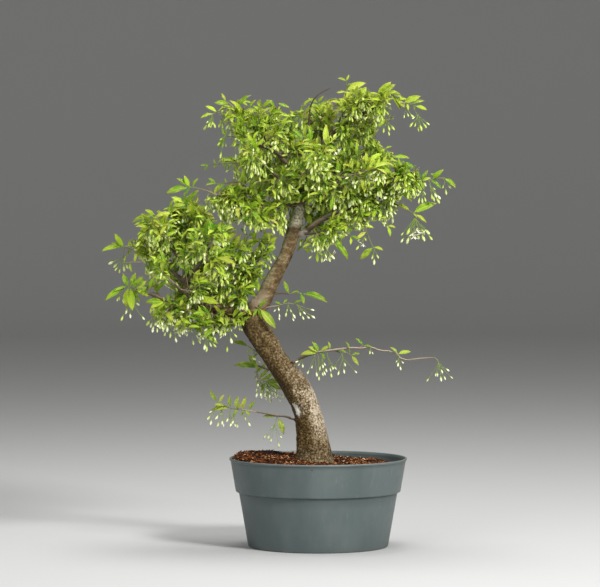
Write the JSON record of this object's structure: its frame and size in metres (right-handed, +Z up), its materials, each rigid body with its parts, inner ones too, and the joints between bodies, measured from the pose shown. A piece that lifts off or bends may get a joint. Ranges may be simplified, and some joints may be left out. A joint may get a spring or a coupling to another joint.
{
  "type": "water jasmine bonsai",
  "caption": "Water jasmine bonsai with a leaning trunk, two pads of leafy sprays and hanging white buds, in a round pot of chips.",
  "frame": {"origin": "centre of the pot's flat base, on the surface that it stands on", "axes": "+Z up along the pot's axis; -Y is the tree's front; the trunk leans towards -X and the long low twig reaches to +X"},
  "size_m": [0.5121, 0.2876, 0.6745],
  "materials": {
    "pot_plastic": "moulded grey-green plastic, satin, with faint scuffs and dust",
    "chips": "dry coarse reddish-brown chips",
    "bark": "rough beige-grey bark, speckled brown, smoother and browner on the young wood",
    "foliage": "soft satin yellow-green leaves with creamy white buds"
  },
  "bodies": {
    "root": {"pot": "pot_plastic", "soil": "chips", "trunk": "bark", "spray_crown_far_right": "foliage", "spray_crown_far_right_2": "foliage", "spray_crown_front": "foliage", "spray_crown_front_left": "foliage", "spray_crown_front_right": "foliage", "spray_crown_leader": "foliage", "spray_crown_leader_2": "foliage", "spray_crown_leader_3": "foliage", "spray_crown_left": "foliage", "spray_crown_left_2": "foliage", "spray_crown_left_front": "foliage", "spray_crown_left_high": "foliage", "spray_crown_left_low": "foliage", "spray_crown_left_low_2": "foliage", "spray_crown_left_low_3": "foliage", "spray_crown_rear": "foliage", "spray_crown_rear_high": "foliage", "spray_crown_rear_left": "foliage", "spray_crown_rear_right": "foliage", "spray_crown_right": "foliage", "spray_crown_right_rear": "foliage", "spray_crown_right_rear_2": "foliage", "spray_crown_top_rear": "foliage", "spray_crown_top_right": "foliage", "spray_crown_top_right_2": "foliage", "spray_long_right_twig": "foliage", "spray_long_right_twig_2": "foliage", "spray_long_right_twig_3": "foliage", "spray_long_right_twig_4": "foliage", "spray_low_left_twig": "foliage", "spray_low_left_twig_2": "foliage", "spray_low_right": "foliage", "spray_low_right_2": "foliage", "spray_low_right_3": "foliage", "spray_low_right_front": "foliage", "spray_low_right_rear": "foliage", "spray_mid_right_twig": "foliage", "spray_pad_far_left": "foliage", "spray_pad_far_left_2": "foliage", "spray_pad_far_left_3": "foliage", "spray_pad_front": "foliage", "spray_pad_front_left": "foliage", "spray_pad_inner": "foliage", "spray_pad_leader": "foliage", "spray_pad_leader_2": "foliage", "spray_pad_leader_3": "foliage", "spray_pad_left": "foliage", "spray_pad_left_top": "foliage", "spray_pad_low": "foliage", "spray_pad_low_left": "foliage", "spray_pad_rear": "foliage", "spray_pad_rear_left": "foliage", "spray_pad_right": "foliage", "spray_pad_top": "foliage", "spray_rear_left_twig": "foliage"}
  },
  "joints": []
}
